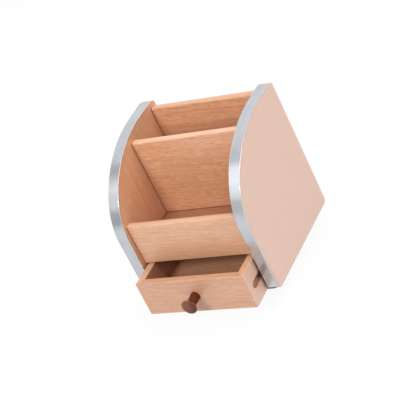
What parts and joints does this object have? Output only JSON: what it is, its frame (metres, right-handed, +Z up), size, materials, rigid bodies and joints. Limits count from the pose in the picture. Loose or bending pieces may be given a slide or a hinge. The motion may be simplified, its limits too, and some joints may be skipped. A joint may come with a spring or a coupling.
{
  "type": "rotating desk organizer",
  "caption": "Wooden desk organizer with curved aluminium-edged side panels, open pen compartments and a sliding drawer with a turned knob, on a ball-bearing swivel base.",
  "frame": {"origin": "on the swivel axis, at the underside of the base pad, on the surface the organizer stands on", "axes": "+Z up along the swivel axis, -Y towards the front of the drawer, +X towards the right-hand panel seen from the front"},
  "size_m": [0.16, 0.1916, 0.1765],
  "materials": {
    "panel_beech": "pale pinkish beech, fine upright grain, satin lacquer",
    "board_beech": "warm beech with fine level flecked grain, satin lacquer",
    "drawer_beech": "warm beech with fine level flecked grain, satin lacquer",
    "base_wood": "beech board, satin lacquer",
    "dark_wood": "dark reddish brown stained and lacquered turned wood",
    "aluminium_edge": "satin anodised aluminium strip",
    "zinc_steel": "zinc plated pressed steel",
    "bright_steel": "polished bearing steel",
    "cage_plastic": "natural nylon",
    "pad_rubber": "matt black anti-slip foam rubber"
  },
  "bodies": {
    "base": {"base_pad": "pad_rubber", "base_disc": "base_wood", "base_screws": "zinc_steel", "lower_race": "zinc_steel", "centre_rivet": "zinc_steel"},
    "ball_ring": {"ball_cage": "cage_plastic", "bearing_balls": "bright_steel"},
    "cabinet": {"upper_race": "zinc_steel", "race_screws": "zinc_steel", "bottom_board": "base_wood", "bottom_screws": "zinc_steel", "side_panel_left": "panel_beech", "side_panel_right": "panel_beech", "edge_strip_left": "aluminium_edge", "edge_strip_right": "aluminium_edge", "back_panel": "board_beech", "back_panel_dowels": "board_beech", "middle_divider": "board_beech", "divider_dowels": "board_beech", "front_fascia": "board_beech", "fascia_dowels": "board_beech", "compartment_floor": "board_beech", "floor_dowels": "board_beech", "drawer_runner_left": "board_beech", "drawer_runner_right": "board_beech", "runner_screws": "zinc_steel"},
    "drawer": {"drawer_front": "drawer_beech", "drawer_back": "drawer_beech", "drawer_side_left": "drawer_beech", "drawer_side_right": "drawer_beech", "drawer_bottom": "drawer_beech", "drawer_pins": "zinc_steel", "knob": "dark_wood", "knob_screw": "zinc_steel"}
  },
  "joints": [
    {"name": "swivel", "type": "hinge", "parent": "base", "child": "cabinet", "pos_m": [0, 0, 0.011], "axis": [0, 0, 1], "continuous": true},
    {"name": "ball_ring_roll", "type": "hinge", "parent": "base", "child": "ball_ring", "pos_m": [0, 0, 0.011], "axis": [0, 0, 1], "continuous": true},
    {"name": "drawer_slide", "type": "slide", "parent": "cabinet", "child": "drawer", "axis": [0, -1, 0], "range_m": [-0.0327, 0.0523]}
  ],
  "couplings": [
    {"joint": "ball_ring_roll", "follows": "swivel", "ratio": 0.5}
  ]
}
